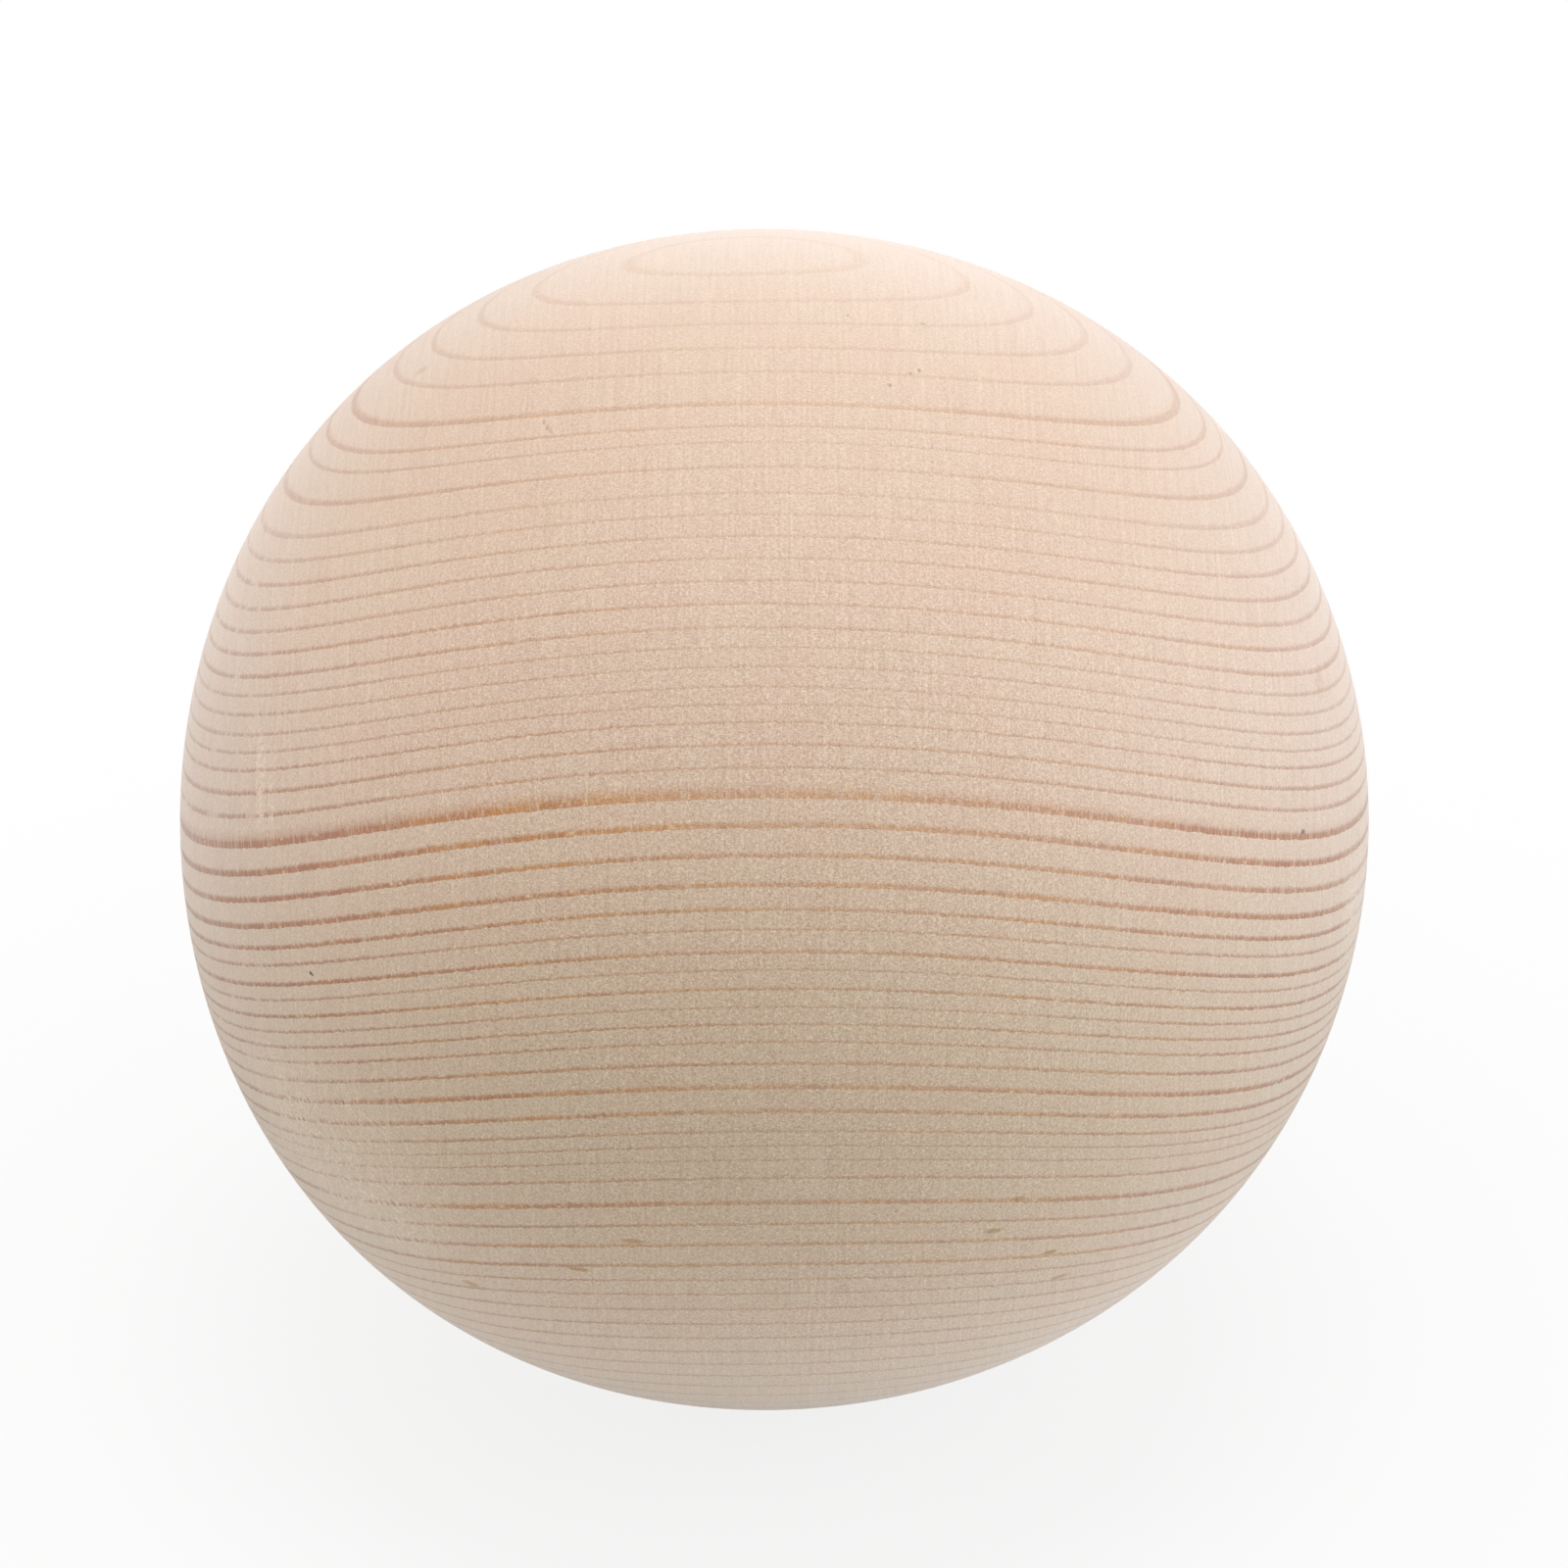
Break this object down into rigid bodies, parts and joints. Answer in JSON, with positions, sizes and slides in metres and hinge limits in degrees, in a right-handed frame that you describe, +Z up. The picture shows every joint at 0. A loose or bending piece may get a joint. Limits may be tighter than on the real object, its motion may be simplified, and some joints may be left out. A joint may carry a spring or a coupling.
{
  "type": "wooden ball",
  "caption": "Solid turned wooden ball with a bare sanded surface and visible growth rings, for craft, display or use as a knob or finial blank.",
  "frame": {"origin": "centre of the ball", "axes": "+Z up, +X along the grain of the wood, -Y towards the side that the picture shows"},
  "size_m": [0.06, 0.06, 0.06],
  "materials": {
    "bare_softwood": "sanded bare, no varnish, slightly fuzzy"
  },
  "bodies": {
    "root": {"ball": "bare_softwood"}
  },
  "joints": []
}
